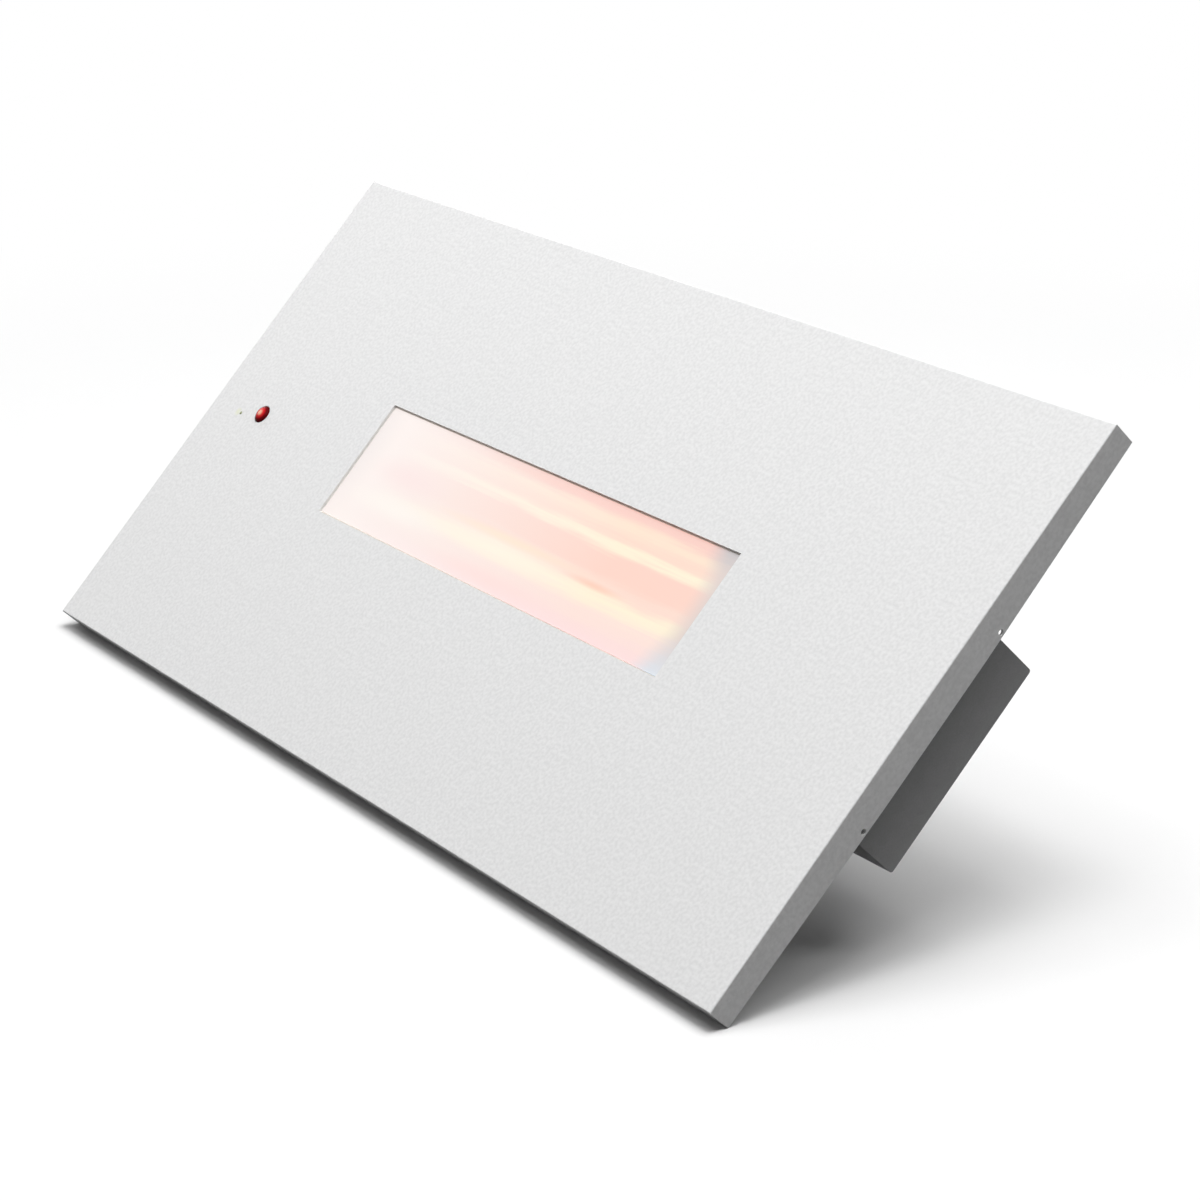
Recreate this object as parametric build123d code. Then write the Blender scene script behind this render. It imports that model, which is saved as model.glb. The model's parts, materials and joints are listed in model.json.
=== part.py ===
from build123d import *
import math
import os

# Infrared heater lamp for a wall or ceiling, in millimetres.
# The origin is the middle of the housing's flat back, on the mounting plane.
# +X runs along the front plate, to the right as seen from the front, +Z is up,
# and the front faces -Y. A depth is counted backwards from the front face.

# Front plate: a tray folded from steel sheet
plate_width = 600.0
plate_height = 300.0
plate_sheet = 1.5
flange_depth = 13.7
ear_depth = 16.0
ear_half = 38.0
plate_edge_radius = 0.6
total_depth = 58.0

# Aperture and its pane, whose rebated rim lies behind the plate
window_half_width = 149.5
window_half_height = 34.5
pane_gap = 1.0
pane_recess = 1.0
pane_thickness = 5.0
pane_half_width = 158.0
pane_half_height = 43.0
pane_corner = 3.0
gasket_thickness = 1.0
gasket_play = 0.2

# Clips that hold the pane
clip_sheet = 0.8
clip_width = 12.0
clip_foot = 6.5
clip_toe = 5.0
clip_gap = 2.0
clip_places = (-120.0, 0.0, 120.0)

# Flange holes, two in each ear
flange_hole_spacing = 102.0
flange_hole_radius = 1.4
flange_hole_depth = 13.6

# Housing: a folded channel closed by two end caps
housing_sheet = 1.0
housing_half_width = 284.0
housing_half_height = 53.5
housing_flange = 12.0
housing_bend = 1.5
cap_lug_length = 12.0
housing_stud_places = (-240.0, 0.0, 240.0)
housing_stud_length = 9.5

# Vent slots over the lamp chamber, a row in the top and a row in the bottom
vent_count = 12
vent_pitch = 24.0
vent_length = 18.0
vent_width = 3.0
vent_depth = 48.0

# Lamps
lamp_offset = 13.0
lamp_depth = 22.0
tube_radius = 5.0
tube_wall = 1.0
tube_half_length = 182.0
filament_half_length = 176.0
filament_width = 4.0
filament_thickness = 0.6
lamp_cap_start = 172.0
lamp_cap_length = 18.0
lamp_cap_size = 17.0
lamp_cap_groove_size = 14.0
lamp_cap_groove_width = 1.7
bracket_sheet = 1.5
bracket_place = 180.0
bracket_foot = 14.0
bracket_half_height = 26.0

# Reflector
reflector_sheet = 0.6
reflector_half_length = 150.0
reflector_lip_depth = 8.3
reflector_lip_half = 44.0
reflector_mouth_half = 36.8
trough_radius = 12.4
reflector_end_sheet = 1.2

# Control end
control_x = -248.0
board_depth = 16.0
board_thickness = 1.6
board_width = 62.0
board_height = 84.0
board_margin = 5.0
partition_x = 205.0
partition_sheet = 1.0

# Push button
button_x = -250.5
button_radius = 5.25
button_proud = 2.6
button_side = 0.8
button_travel = 1.5
button_hole_radius = 5.5
guide_back = 5.0
stem_back = 8.0
stem_floor = 6.5
plunger_radius = 1.5
plunger_back = 12.2
switch_half = 6.0

# Status light
light_x = -269.5
light_z = -4.4
light_radius = 1.0
light_proud = 0.4

# Mains end
mains_x = 235.0
grommet_z = -34.0
grommet_hole_radius = 6.5
cable_bore_radius = 4.0
clamp_z = -14.0
clamp_sheet = 2.0
clamp_screw_reach = 11.5
terminal_z = 14.0
terminal_height = 20.0
terminal_depth = 16.0
terminal_half_width = 20.0
terminal_pitch = 12.0
terminal_screw_radius = 2.2
ear_thickness = 4.0
ear_screw_reach = 23.5
earth_x = 264.0
earth_z = 28.0
wire_radius = 1.2
wire_bend = 6.0
lead_bend = 3.0

# Fixing holes in the back, M5
fixing_half_width = 265.0
fixing_half_height = 40.0
fixing_hole_radius = 2.5
weld_nut_half = 4.5
weld_nut_height = 4.0

# Screws, studs and nuts
m3_radius = 1.5
m3_head_across = 5.5
m3_head_height = 2.0
m4_radius = 2.0
m4_nut_across = 7.0
m4_nut_height = 3.2

# Play of a close fit and of a screw in its hole, and how far a cut runs past a face
fit = 0.05
hole_play = 0.25
past = 1.0

back_inner_depth = total_depth - housing_sheet
board_back = board_depth + board_thickness
tube_bore = tube_radius - tube_wall
housing_stud_z = housing_half_height + housing_flange / 2
pane_back = pane_recess + pane_thickness
rim_front = plate_sheet + gasket_thickness
middle_half_width = window_half_width - pane_gap
middle_half_height = window_half_height - pane_gap
terminal_front = back_inner_depth - terminal_depth


def y_at(depth):
    return depth - total_depth


def block(x0, x1, d0, d1, z0, z1):
    """A box between two x, two depth and two z values."""
    size = Box(x1 - x0, d1 - d0, z1 - z0)
    return Pos((x0 + x1) / 2, y_at((d0 + d1) / 2), (z0 + z1) / 2) * size


def rod(x, z, d0, d1, radius):
    """A cylinder that runs front to back."""
    middle = Pos(x, y_at((d0 + d1) / 2), z)
    return middle * Rot(90, 0, 0) * Cylinder(radius, abs(d1 - d0))


def cross_rod(x0, x1, z, depth, radius):
    """A cylinder that runs along X."""
    middle = Pos((x0 + x1) / 2, y_at(depth), z)
    return middle * Rot(0, 90, 0) * Cylinder(radius, abs(x1 - x0))


def hex_prism(x, z, d0, d1, across_flats):
    """A hexagon bar that runs front to back."""
    outline = RegularPolygon(across_flats / math.sqrt(3), 6)
    return Pos(x, y_at(d0), z) * Rot(-90, 0, 0) * extrude(outline, d1 - d0)


def m4_nut(x, z, front, back):
    nut = hex_prism(x, z, front, back, m4_nut_across)
    return nut - rod(x, z, front - past, back + past, m4_radius + fit)


def section_to_solid(face, x0, x1):
    """Extrudes a face drawn with depth to the right and z upwards, from x0 to x1."""
    placed = Plane.YZ.offset(x0) * (Pos(y_at(0), 0) * face)
    return extrude(placed, x1 - x0)


def folded_strip(points, thickness, radius, x0, x1):
    """Folded sheet: its centre line is given as depth and z, with bends of one radius."""
    path = FilletPolyline(*points, radius=radius)
    return section_to_solid(trace(path, thickness), x0, x1)


def footed_wall(x0, thickness, front, foot, half_height):
    """Sheet that stands across the housing, with its foot bent outwards along the back wall."""
    wall_x = x0 + thickness / 2
    foot_y = y_at(back_inner_depth - thickness / 2)
    path = FilletPolyline(
        (wall_x, y_at(front)), (wall_x, foot_y), (x0 + foot, foot_y), radius=thickness
    )
    sheet = extrude(trace(path, thickness), 2 * half_height, dir=(0, 0, 1))
    return Pos(0, 0, -half_height) * sheet


def turned(x, z, profile):
    """Revolves a closed outline, given as radius and depth, about an axis that runs front to back."""
    return Pos(x, y_at(0), z) * revolve(make_face(profile), Axis.Y)


def dome_arc(radius, tip, side):
    """Arc of a dome's outline, from its tip on the axis to its side, as radius and depth."""
    half_angle = 2 * math.atan2(side - tip, radius)
    sphere = radius / math.sin(half_angle)
    middle = (
        sphere * math.sin(half_angle / 2),
        tip + sphere * (1 - math.cos(half_angle / 2)),
    )
    return ThreePointArc((0, tip), middle, (radius, side))


def group(solids):
    """Several separate solids that share one node."""
    return Compound(children=[s.solid() for s in solids])


def both_signs(values):
    """Each value with -1 and with 1, as pairs."""
    return [(a, b) for a in values for b in (-1, 1)]


def on_side(shape, side):
    """The shape as built for the right, or its mirror image for the left."""
    return mirror(shape, Plane.YZ) if side < 0 else shape


def front_plate():
    """Tray folded from sheet, trimmed to the outline of its ears, then pierced."""
    half_w = plate_width / 2
    half_h = plate_height / 2
    t = plate_sheet
    outer = block(-half_w, half_w, 0, ear_depth, -half_h, half_h)
    inner = block(t - half_w, half_w - t, t, ear_depth + past, t - half_h, half_h - t)
    side_outline = Polyline(
        (0, -half_h),
        (flange_depth, -half_h),
        (ear_depth, -ear_half),
        (ear_depth, ear_half),
        (flange_depth, half_h),
        (0, half_h),
        close=True,
    )
    tray = (outer - inner) & section_to_solid(make_face(side_outline), -half_w, half_w)
    tray = fillet(tray.edges().group_by(Axis.Y)[0], plate_edge_radius)
    x, z = window_half_width, window_half_height
    tray -= block(-x, x, -past, t + past, -z, z)
    tray -= rod(button_x, 0, -past, t + past, button_hole_radius)
    tray -= rod(light_x, light_z, -past, t + past, light_radius + fit)
    for side, sign in both_signs((-1, 1)):
        x_out = side * (half_w + past)
        x_in = side * (half_w - t - past)
        z = sign * flange_hole_spacing / 2
        tray -= cross_rod(x_in, x_out, z, flange_hole_depth, flange_hole_radius)
    return tray


def housing_studs():
    """Studs welded to the back of the plate."""
    end = plate_sheet + housing_stud_length
    studs = []
    for x, sign in both_signs(housing_stud_places):
        studs.append(rod(x, sign * housing_stud_z, plate_sheet, end, m4_radius))
    return group(studs)


def housing_nuts():
    """Nuts that clamp the housing's flanges against the plate."""
    seat = plate_sheet + housing_sheet
    nuts = []
    for x, sign in both_signs(housing_stud_places):
        nuts.append(m4_nut(x, sign * housing_stud_z, seat, seat + m4_nut_height))
    return group(nuts)


def through_back(x, z, radius):
    """The cut of a round hole through the back wall."""
    return rod(x, z, back_inner_depth - past, total_depth + past, radius)


def housing_channel():
    """Top, back and bottom in one folded sheet, with a flange along each front edge."""
    half = housing_sheet / 2
    wall_z = housing_half_height - half
    flange_z = housing_half_height + housing_flange
    front = plate_sheet + half
    back = total_depth - half
    x_end = housing_half_width - housing_sheet
    path = (
        (front, flange_z),
        (front, wall_z),
        (back, wall_z),
        (back, -wall_z),
        (front, -wall_z),
        (front, -flange_z),
    )
    channel = folded_strip(path, housing_sheet, housing_bend - half, -x_end, x_end)
    for x, sign in both_signs(housing_stud_places):
        z = sign * housing_stud_z
        channel -= rod(x, z, 0, plate_sheet + housing_sheet + past, m4_radius + hole_play)
    for x, sign in both_signs((-fixing_half_width, fixing_half_width)):
        channel -= through_back(x, sign * fixing_half_height, fixing_hole_radius)
    for x, z, seat in mains_screw_places():
        channel -= through_back(x, z, m3_radius)
    channel -= through_back(mains_x, grommet_z, grommet_hole_radius)
    for i in range(vent_count):
        x = vent_pitch * (i - (vent_count - 1) / 2)
        channel -= block(
            x - vent_length / 2,
            x + vent_length / 2,
            vent_depth - vent_width / 2,
            vent_depth + vent_width / 2,
            -housing_half_height - past,
            housing_half_height + past,
        )
    return channel


def end_cap(side):
    """A flat end of the housing, with three lugs spot-welded inside the channel."""
    t = housing_sheet
    x_in = housing_half_width - t
    lug_x = x_in - cap_lug_length
    z_out = housing_half_height
    side_lug_depths = (10.0, 48.0)
    back_lug_half = 34.0
    cap = block(x_in, housing_half_width, plate_sheet, total_depth, -z_out, z_out)
    rear = cap.edges().filter_by(Axis.X).group_by(Axis.Y)[-1]
    cap = fillet(rear, housing_bend)
    for sign in (-1, 1):
        z0, z1 = sorted((sign * (z_out - t), sign * (z_out - 2 * t)))
        cap += block(lug_x, x_in, *side_lug_depths, z0, z1)
    cap += block(
        lug_x, x_in, back_inner_depth - t, back_inner_depth, -back_lug_half, back_lug_half
    )
    return on_side(cap, side)


def window_glass():
    """Pane with a ground rebate: its middle stands in the aperture, almost flush with the plate."""
    x, z = pane_half_width, pane_half_height
    pane = block(-x, x, rim_front, pane_back, -z, z)
    pane = fillet(pane.edges().filter_by(Axis.Y), pane_corner)
    x, z = middle_half_width, middle_half_height
    return pane + block(-x, x, pane_recess, rim_front + past, -z, z)


def glass_gasket():
    """Frame of pressed fibre between the plate and the rim of the pane."""
    x, z = pane_half_width, pane_half_height
    outer = block(-x, x, plate_sheet, rim_front, -z, z)
    x = middle_half_width + gasket_play
    z = middle_half_height + gasket_play
    return outer - block(-x, x, plate_sheet - past, rim_front + past, -z, z)


def glass_clips():
    """Spring clips, welded by the foot, whose toes press the pane against the gasket."""
    half = clip_sheet / 2
    foot_depth = plate_sheet + half
    toe_depth = pane_back + half
    riser = pane_half_height + clip_gap + half
    path = (
        (foot_depth, riser + clip_foot),
        (foot_depth, riser),
        (toe_depth, riser),
        (toe_depth, pane_half_height - clip_toe),
    )
    clips = []
    for x, sign in both_signs(clip_places):
        half_w = clip_width / 2
        clip = folded_strip(path, clip_sheet, clip_sheet, x - half_w, x + half_w)
        clips.append(clip if sign > 0 else mirror(clip, Plane.XY))
    return group(clips)


def reflector():
    """Bright aluminium sheet, folded into one trough behind each lamp."""
    ridge_half = lamp_offset - trough_radius
    ridge_depth = lamp_depth - 3.0
    lip_bend = 1.5
    dz = reflector_mouth_half - lamp_offset
    dy = lamp_depth - reflector_lip_depth
    turn = math.acos(trough_radius / math.hypot(dz, dy))
    heading = math.atan2(-dy, dz) + turn
    touch_depth = lamp_depth + trough_radius * math.sin(heading)
    touch_z = lamp_offset + trough_radius * math.cos(heading)
    halves = []
    for sign in (1, -1):
        lip = FilletPolyline(
            (reflector_lip_depth, sign * reflector_lip_half),
            (reflector_lip_depth, sign * reflector_mouth_half),
            (touch_depth, sign * touch_z),
            radius=lip_bend,
        )
        trough = ThreePointArc(
            (touch_depth, sign * touch_z),
            (lamp_depth + trough_radius, sign * lamp_offset),
            (lamp_depth, sign * ridge_half),
        )
        wall = Line((lamp_depth, sign * ridge_half), (ridge_depth, sign * ridge_half))
        halves += [lip, trough, wall]
    crest = ThreePointArc(
        (ridge_depth, ridge_half), (ridge_depth - ridge_half, 0), (ridge_depth, -ridge_half)
    )
    face = trace(Curve() + halves + crest, reflector_sheet)
    return section_to_solid(face, -reflector_half_length, reflector_half_length)


def reflector_end(side):
    """Closes the troughs at one end, carries the reflector and lets the tubes through."""
    t = reflector_end_sheet
    x0 = reflector_half_length
    tube_play = 1.2
    front = reflector_lip_depth - reflector_sheet / 2
    end = footed_wall(x0, t, front, bracket_foot, reflector_lip_half)
    for sign in (-1, 1):
        z = sign * lamp_offset
        end -= cross_rod(x0 - past, x0 + t + past, z, lamp_depth, tube_radius + tube_play)
    return on_side(end, side)


def quartz_tube(sign):
    z = sign * lamp_offset
    tube = cross_rod(-tube_half_length, tube_half_length, z, lamp_depth, tube_radius)
    cut = tube_half_length + past
    return tube - cross_rod(-cut, cut, z, lamp_depth, tube_bore)


def filament(sign):
    """A carbon strip on the tube's axis, held by a plug in each end of the tube."""
    z = sign * lamp_offset
    half_w = filament_width / 2
    half_t = filament_thickness / 2
    x = filament_half_length + past
    strip = block(-x, x, lamp_depth - half_t, lamp_depth + half_t, z - half_w, z + half_w)
    for end in (-1, 1):
        near = end * filament_half_length
        far = end * tube_half_length
        strip += cross_rod(near, far, z, lamp_depth, tube_bore - fit)
    return strip


def lamp_cap(side, sign):
    """A grooved ceramic cap on one end of a tube; the groove sits in the bracket."""
    z = sign * lamp_offset
    half = lamp_cap_size / 2
    x0 = lamp_cap_start
    x1 = x0 + lamp_cap_length
    corner = 1.5
    cap = block(x0, x1, lamp_depth - half, lamp_depth + half, z - half, z + half)
    cap = chamfer(cap.edges().filter_by(Axis.X), corner)
    g0 = bracket_place - (lamp_cap_groove_width - bracket_sheet) / 2
    g1 = g0 + lamp_cap_groove_width
    g = lamp_cap_groove_size / 2
    far = half + past
    ring = block(g0, g1, lamp_depth - far, lamp_depth + far, z - far, z + far)
    ring -= block(g0, g1, lamp_depth - g, lamp_depth + g, z - g, z + g)
    cap -= ring
    cap -= cross_rod(x0 - past, x1 + past, z, lamp_depth, tube_radius + fit)
    return on_side(cap, side)


def lamp_bracket(side):
    """Steel stand with an open notch for the groove of each lamp cap."""
    t = bracket_sheet
    x0 = bracket_place
    notch = lamp_cap_groove_size / 2
    rim = 3.0
    front = lamp_depth - notch - rim
    stand = footed_wall(x0, t, front, bracket_foot, bracket_half_height)
    for sign in (-1, 1):
        z0 = sign * lamp_offset - notch - fit
        z1 = sign * lamp_offset + notch + fit
        stand -= block(x0 - past, x0 + t + past, front - past, lamp_depth + notch, z0, z1)
    return on_side(stand, side)


def heat_shield():
    """Folded sheet that stands between the reflector and the back wall."""
    t = 0.6
    face_depth = 44.0
    leg = 40.0
    foot = 30.0
    half_length = 148.0
    foot_depth = back_inner_depth - t / 2
    path = (
        (foot_depth, foot),
        (foot_depth, leg),
        (face_depth, leg),
        (face_depth, -leg),
        (foot_depth, -leg),
        (foot_depth, -foot),
    )
    return folded_strip(path, t, 2 * t, -half_length, half_length)


def partition_windows():
    """Where leads pass the partition, as z, depth, half height and half depth."""
    return (
        (46.0, 49.0, 1.8, 3.0),
        (lamp_offset, 38.0, 1.5, 1.5),
        (-lamp_offset, 38.0, 1.5, 1.5),
        (-33.0, 36.0, 2.8, 1.4),
    )


def window_prism(x0, x1, window, margin):
    """A bar along X that fills a partition window, with a margin on every side."""
    z, depth, half_z, half_depth = window
    dz = half_z + margin
    dd = half_depth + margin
    return block(x0, x1, depth - dd, depth + dd, z - dz, z + dz)


edging_wall = 1.2


def partition():
    """Keeps the lamps' heat out of the control end."""
    x0 = partition_x
    front = 6.0
    wall = footed_wall(x0, partition_sheet, front, 15.0, 51.5)
    wall = on_side(wall, -1)
    for window in partition_windows():
        wall -= window_prism(-x0 - partition_sheet - past, past - x0, window, edging_wall)
    return wall


def partition_edgings():
    """Rubber frames with a groove all round, which line the windows of the partition."""
    rim = 1.2
    x0 = -partition_x - partition_sheet
    x1 = -partition_x
    frames = []
    for window in partition_windows():
        frame = window_prism(x0, x1, window, edging_wall)
        frame += window_prism(x0 - rim, x0, window, edging_wall + rim)
        frame += window_prism(x1, x1 + rim, window, edging_wall + rim)
        frame -= window_prism(x0 - rim - past, x1 + rim + past, window, 0)
        frames.append(frame)
    return group(frames)


def board_corners():
    reach_x = board_width / 2 - board_margin
    reach_z = board_height / 2 - board_margin
    return [(control_x + side * reach_x, sign * reach_z) for side, sign in both_signs((-1, 1))]


def control_board():
    x = board_width / 2
    z = board_height / 2
    board = block(control_x - x, control_x + x, board_depth, board_back, -z, z)
    for corner_x, corner_z in board_corners():
        hole = m3_radius + hole_play
        board -= rod(corner_x, corner_z, board_depth - past, board_back + past, hole)
    return board


board_screw_length = 7.0


def board_spacers():
    """Threaded hexagon spacers, welded to the plate, that carry the board."""
    bore_depth = board_back - board_screw_length - past
    spacers = []
    for x, z in board_corners():
        spacer = hex_prism(x, z, plate_sheet, board_depth, m3_head_across)
        spacer -= rod(x, z, bore_depth, board_depth + past, m3_radius)
        spacers.append(spacer)
    return group(spacers)


def board_screws():
    """Hexagon-head screws whose heads look backwards."""
    screws = []
    for x, z in board_corners():
        screw = hex_prism(x, z, board_back, board_back + m3_head_height, m3_head_across)
        screw += rod(x, z, board_back - board_screw_length, board_back, m3_radius - fit)
        screws.append(screw)
    return group(screws)


def board_part(x, z, width, height, rise, corner=0.6):
    """A moulded component that stands on the back of the board."""
    w = width / 2
    h = height / 2
    body = block(x - w, x + w, board_back, board_back + rise, z - h, z + h)
    return chamfer(body.edges().filter_by(Axis.Y), corner)


def power_relay():
    return board_part(control_x + 10, 13, 19, 15, 15)


def transformer():
    """A core with its winding standing out on both sides."""
    core = board_part(control_x - 16, 16, 18, 26, 14)
    winding = board_part(control_x - 16, 16, 26, 16, 12, 2)
    return core + winding


def capacitor():
    return rod(control_x - 18, -22, board_back, board_back + 13, 5)


plug_floor = board_back + 6.0


def plug_connector(x, z, width):
    """A board connector with an open mouth at the back, where its wires go in."""
    wall = 1.0
    half_h = 4.5
    rise = 10.0
    body = board_part(x, z, width, 2 * half_h, rise)
    w = width / 2 - wall
    h = half_h - wall
    return body - block(x - w, x + w, plug_floor, board_back + rise + past, z - h, z + h)


mains_plug_z = 31.0
sensor_plug_z = -33.0
lamp_plug_x = control_x + 10


def mains_connector():
    return plug_connector(control_x + 14, mains_plug_z, 16)


def lamp_connector():
    return plug_connector(lamp_plug_x, -lamp_offset, 12)


def sensor_connector():
    return plug_connector(lamp_plug_x, sensor_plug_z, 14)


def switch_body():
    """Push switch on the front of the board, around its plunger."""
    front = stem_back + button_travel + 0.5
    bore_back = plunger_back + button_travel + 0.3
    s = switch_half
    body = block(button_x - s, button_x + s, front, board_depth, -s, s)
    body = chamfer(body.edges().filter_by(Axis.Y), 1)
    return body - rod(button_x, 0, front - past, bore_back, plunger_radius + fit)


def switch_plunger():
    return rod(button_x, 0, stem_floor, plunger_back, plunger_radius)


def button_cap():
    """Domed cap with a straight side, a collar behind the guide and a hollow stem."""
    collar_front = guide_back + fit
    collar_back = 6.3
    collar_radius = 6.8
    stem_radius = 3.0
    dome = dome_arc(button_radius, -button_proud, -button_side)
    side = Polyline(
        (button_radius, -button_side),
        (button_radius, collar_front),
        (collar_radius, collar_front),
        (collar_radius, collar_back),
        (stem_radius, collar_back),
        (stem_radius, stem_back),
        (0, stem_back),
        (0, -button_proud),
    )
    cap = turned(button_x, 0, Curve() + [dome, side])
    return cap - rod(button_x, 0, stem_floor, stem_back + past, plunger_radius + 0.02)


def button_guide():
    """Flanged sleeve behind the plate, in which the cap slides."""
    sleeve_radius = 7.5
    flange_radius = 9.0
    flange_back = plate_sheet + 1.2
    sleeve = rod(button_x, 0, plate_sheet, guide_back, sleeve_radius)
    sleeve += rod(button_x, 0, plate_sheet, flange_back, flange_radius)
    return sleeve - rod(button_x, 0, 0, guide_back + past, button_radius + fit)


def light_pipe():
    """Clear rod that brings the light through the plate, with a domed tip and a collar."""
    back = 13.4
    collar = 2.2
    collar_back = plate_sheet + 1.0
    tip = dome_arc(light_radius, -light_proud, 0)
    outline = Polyline(
        (light_radius, 0),
        (light_radius, plate_sheet),
        (collar, plate_sheet),
        (collar, collar_back),
        (light_radius, collar_back),
        (light_radius, back),
        (0, back),
        (0, -light_proud),
    )
    return turned(light_x, light_z, Curve() + [tip, outline])


def light_emitter():
    front = 14.2
    w = 1.6
    h = 0.8
    return block(light_x - w, light_x + w, front, board_depth, light_z - h, light_z + h)


def terminal_places():
    return (mains_x - terminal_pitch, mains_x, mains_x + terminal_pitch)


def terminal_screw_z():
    return terminal_z - terminal_height / 2 + 4


def terminal_block():
    """Ceramic block with three poles: the cord's wires enter from below, the heater's from above."""
    low = terminal_z - terminal_height / 2
    high = terminal_z + terminal_height / 2
    half_w = terminal_half_width
    well_half = 2.8
    well_height = 8.0
    well_front = terminal_front + 4
    well_back = terminal_front + 12
    ear_half_height = 4.0
    ear_reach = ear_screw_reach + ear_half_height
    ear_front = back_inner_depth - ear_thickness
    body = block(mains_x - half_w, mains_x + half_w, terminal_front, back_inner_depth, low, high)
    body = chamfer(body.edges().filter_by(Axis.Y), 1)
    body += block(
        mains_x - ear_reach,
        mains_x + ear_reach,
        ear_front,
        back_inner_depth,
        terminal_z - ear_half_height,
        terminal_z + ear_half_height,
    )
    for x in terminal_places():
        x0 = x - well_half
        x1 = x + well_half
        body -= block(x0, x1, well_front, well_back, low - past, low + well_height)
        body -= block(x0, x1, well_front, well_back, high - well_height, high + past)
        bore = terminal_screw_radius + fit
        body -= rod(x, terminal_screw_z(), terminal_front - past, well_front + past, bore)
    for side in (-1, 1):
        x = mains_x + side * ear_screw_reach
        body -= rod(x, terminal_z, ear_front - past, back_inner_depth + past, m3_radius + hole_play)
    return body


def terminal_screws():
    """Clamping screws of the poles, sunk in the block."""
    sunk = 1.0
    reach = 6.0
    z = terminal_screw_z()
    screws = []
    for x in terminal_places():
        screws.append(rod(x, z, terminal_front + sunk, terminal_front + reach, terminal_screw_radius))
    return group(screws)


def cord_clamp():
    """Saddle that grips the mains cord by its sheath."""
    half = 4.0
    inner = 4.2
    foot = 16.0
    outer = inner + clamp_sheet
    far = half + past
    behind = back_inner_depth + outer
    centre = Pos(mains_x, y_at(back_inner_depth - inner), clamp_z)
    x0 = mains_x - outer
    x1 = mains_x + outer
    z0 = clamp_z - half
    z1 = clamp_z + half
    saddle = centre * Cylinder(outer, 2 * half)
    saddle += block(x0, x1, back_inner_depth - inner, back_inner_depth, z0, z1)
    saddle += block(
        mains_x - foot, mains_x + foot, back_inner_depth - clamp_sheet, back_inner_depth, z0, z1
    )
    saddle -= centre * Cylinder(inner, 2 * far)
    x0 = mains_x - inner
    x1 = mains_x + inner
    z0 = clamp_z - far
    z1 = clamp_z + far
    saddle -= block(x0, x1, back_inner_depth - inner, behind, z0, z1)
    saddle -= block(mains_x - foot, mains_x + foot, back_inner_depth, behind, z0, z1)
    for side in (-1, 1):
        x = mains_x + side * clamp_screw_reach
        saddle -= rod(x, clamp_z, 0, total_depth, m3_radius + hole_play)
    return saddle


def mains_screw_places():
    """Screws of the cord clamp and the terminal block, as x, z and the depth of the head's seat."""
    clamp_seat = back_inner_depth - clamp_sheet
    ear_seat = back_inner_depth - ear_thickness
    return (
        (mains_x - clamp_screw_reach, clamp_z, clamp_seat),
        (mains_x + clamp_screw_reach, clamp_z, clamp_seat),
        (mains_x - ear_screw_reach, terminal_z, ear_seat),
        (mains_x + ear_screw_reach, terminal_z, ear_seat),
    )


def mains_screws():
    """Hexagon-head screws that tap into the back wall and end flush with it."""
    screws = []
    for x, z, seat in mains_screw_places():
        screw = hex_prism(x, z, seat - m3_head_height, seat, m3_head_across)
        screws.append(screw + rod(x, z, seat, total_depth, m3_radius - fit))
    return group(screws)


def cable_grommet():
    """Rubber ring in the back wall for the mains cord."""
    inner_face = back_inner_depth - 2
    rim_radius = grommet_hole_radius + 2
    ring = rod(mains_x, grommet_z, inner_face, back_inner_depth, rim_radius)
    ring += rod(mains_x, grommet_z, back_inner_depth, total_depth, grommet_hole_radius - fit)
    return ring - rod(mains_x, grommet_z, inner_face - past, total_depth + past, cable_bore_radius)


cutout_depth = 36.0
cutout_back = reflector_half_length + reflector_end_sheet
cutout_tab_end = cutout_back + 13.0
cutout_tab_z = 3.0


def thermal_cutout():
    """Disc thermostat on the outer side of the left reflector end."""
    z = sensor_plug_z
    plate = 0.8
    disc_end = cutout_back + 7
    tab_half = cutout_depth - 3, cutout_depth + 3
    ear_half = 11.5
    body = cross_rod(cutout_back + plate, disc_end, z, cutout_depth, 7.5)
    ears = cutout_depth - ear_half, cutout_depth + ear_half
    body += block(cutout_back, cutout_back + plate, *ears, z - 5, z + 5)
    for sign in (-1, 1):
        tab_z = z + sign * cutout_tab_z
        body += block(disc_end, cutout_tab_end, *tab_half, tab_z - plate / 2, tab_z + plate / 2)
    return on_side(body, -1)


def earth_stud():
    length = 14.0
    return rod(earth_x, earth_z, back_inner_depth - length, back_inner_depth, m4_radius)


ring_thickness = 0.8


def earth_nut():
    """Nut that clamps the earth wire's ring against the back wall."""
    seat = back_inner_depth - ring_thickness
    return m4_nut(earth_x, earth_z, seat - m4_nut_height, seat)


def fixing_nuts():
    """Square nuts welded behind the fixing holes."""
    seat = back_inner_depth - weld_nut_height
    n = weld_nut_half
    nuts = []
    for x, sign in both_signs((-fixing_half_width, fixing_half_width)):
        z = sign * fixing_half_height
        nut = block(x - n, x + n, seat, back_inner_depth, z - n, z + n)
        nuts.append(nut - rod(x, z, seat - past, back_inner_depth + past, fixing_hole_radius))
    return group(nuts)


def wire(points, bend, radius=wire_radius):
    """Insulated wire along straight runs and arcs, drawn with six flat sides. Points are x, depth and z."""
    places = [(x, y_at(depth), z) for x, depth, z in points]
    path = FilletPolyline(*places, radius=bend)
    section = Plane(origin=path @ 0, z_dir=path % 0) * RegularPolygon(radius, 6)
    return sweep(section, path=path)


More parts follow.
